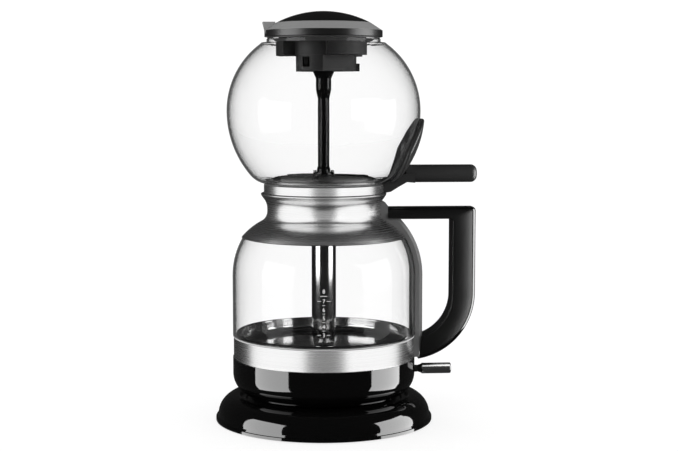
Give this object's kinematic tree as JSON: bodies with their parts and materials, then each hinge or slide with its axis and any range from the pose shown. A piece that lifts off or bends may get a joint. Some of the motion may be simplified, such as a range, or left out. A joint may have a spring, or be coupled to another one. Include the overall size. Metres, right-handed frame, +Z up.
{
  "type": "siphon coffee maker",
  "caption": "Electric siphon coffee maker: glass carafe on a cordless heated base, glass brew globe with siphon tube, stemmed filter, lid and D-shaped handle.",
  "frame": {"origin": "on the carafe's axis, on the surface that the base's foot ring stands on", "axes": "+Z up along the carafe's axis, +X towards the handles, +Y towards the back where the cord enters the base"},
  "size_m": [0.2373, 0.198, 0.3684],
  "materials": {
    "gloss_black": "high gloss",
    "satin_black": "satin moulded",
    "grip_grey": "satin soft touch",
    "lid_grey": "satin moulded",
    "inner_plastic": "moulded",
    "brushed_steel": "brushed",
    "polished_steel": "polished",
    "screw_steel": "plain",
    "clear_glass": "clear borosilicate",
    "black_rubber": "matte",
    "grey_silicone": "matte",
    "brass": "plain",
    "aluminium": "cast",
    "filter_mesh": "woven mesh"
  },
  "bodies": {
    "power_base": {"base_shell": "gloss_black", "base_bottom_plate": "satin_black", "base_foot_ring": "black_rubber", "base_screws": "screw_steel", "cord_gland": "black_rubber", "terminal_block": "inner_plastic", "cord_clamp": "satin_black"},
    "connector": {"connector_post": "satin_black", "connector_contacts": "brass"},
    "carafe": {"heater_housing": "gloss_black", "housing_screws": "screw_steel", "connector_socket": "inner_plastic", "connector_pins": "brass", "control_module": "inner_plastic", "heating_element": "aluminium", "heat_spreader": "aluminium", "hot_plate": "polished_steel", "steel_band": "brushed_steel", "plate_seal": "grey_silicone", "carafe_glass": "clear_glass", "neck_collar": "brushed_steel", "collar_seal": "grey_silicone", "handle_spine": "grip_grey", "handle_grip": "grip_grey", "handle_trim": "gloss_black", "handle_screws": "screw_steel", "lever_pin": "screw_steel"},
    "switch_lever": {"lever_arm": "satin_black", "lever_tip": "polished_steel"},
    "brew_unit": {"globe_glass": "clear_glass", "brew_ring": "brushed_steel", "siphon_gasket": "black_rubber", "siphon_tube": "polished_steel", "globe_seal": "grey_silicone", "brew_handle": "satin_black", "brew_handle_cap": "satin_black"},
    "filter": {"filter_frame": "satin_black", "filter_mesh": "filter_mesh", "filter_spider": "satin_black", "filter_seal": "black_rubber", "filter_stem": "gloss_black", "filter_bolts": "screw_steel"},
    "lid": {"lid_rim": "satin_black", "lid_band": "lid_grey", "lid_dome": "satin_black", "lid_plug": "satin_black", "lid_seal": "black_rubber", "lid_socket": "satin_black", "lid_catch": "satin_black", "lid_screws": "screw_steel"}
  },
  "joints": [
    {"name": "carafe_swivel", "type": "hinge", "parent": "power_base", "child": "connector", "pos_m": [0, 0, 0.03], "axis": [0, 0, 1], "continuous": true},
    {"name": "carafe_lift", "type": "slide", "parent": "connector", "child": "carafe", "axis": [0, 0, 1], "range_m": [0, 0.08]},
    {"name": "switch_rock", "type": "hinge", "parent": "carafe", "child": "switch_lever", "pos_m": [0.0746, 0, 0.0442], "axis": [0, 1, 0], "range_deg": [0, 12]},
    {"name": "brew_unit_lift", "type": "slide", "parent": "carafe", "child": "brew_unit", "axis": [0, 0, 1], "range_m": [0, 0.15]},
    {"name": "filter_lift", "type": "slide", "parent": "brew_unit", "child": "filter", "axis": [0, 0, 1], "range_m": [0, 0.15]},
    {"name": "lid_lift", "type": "slide", "parent": "filter", "child": "lid", "axis": [0, 0, 1], "range_m": [0, 0.05]}
  ]
}
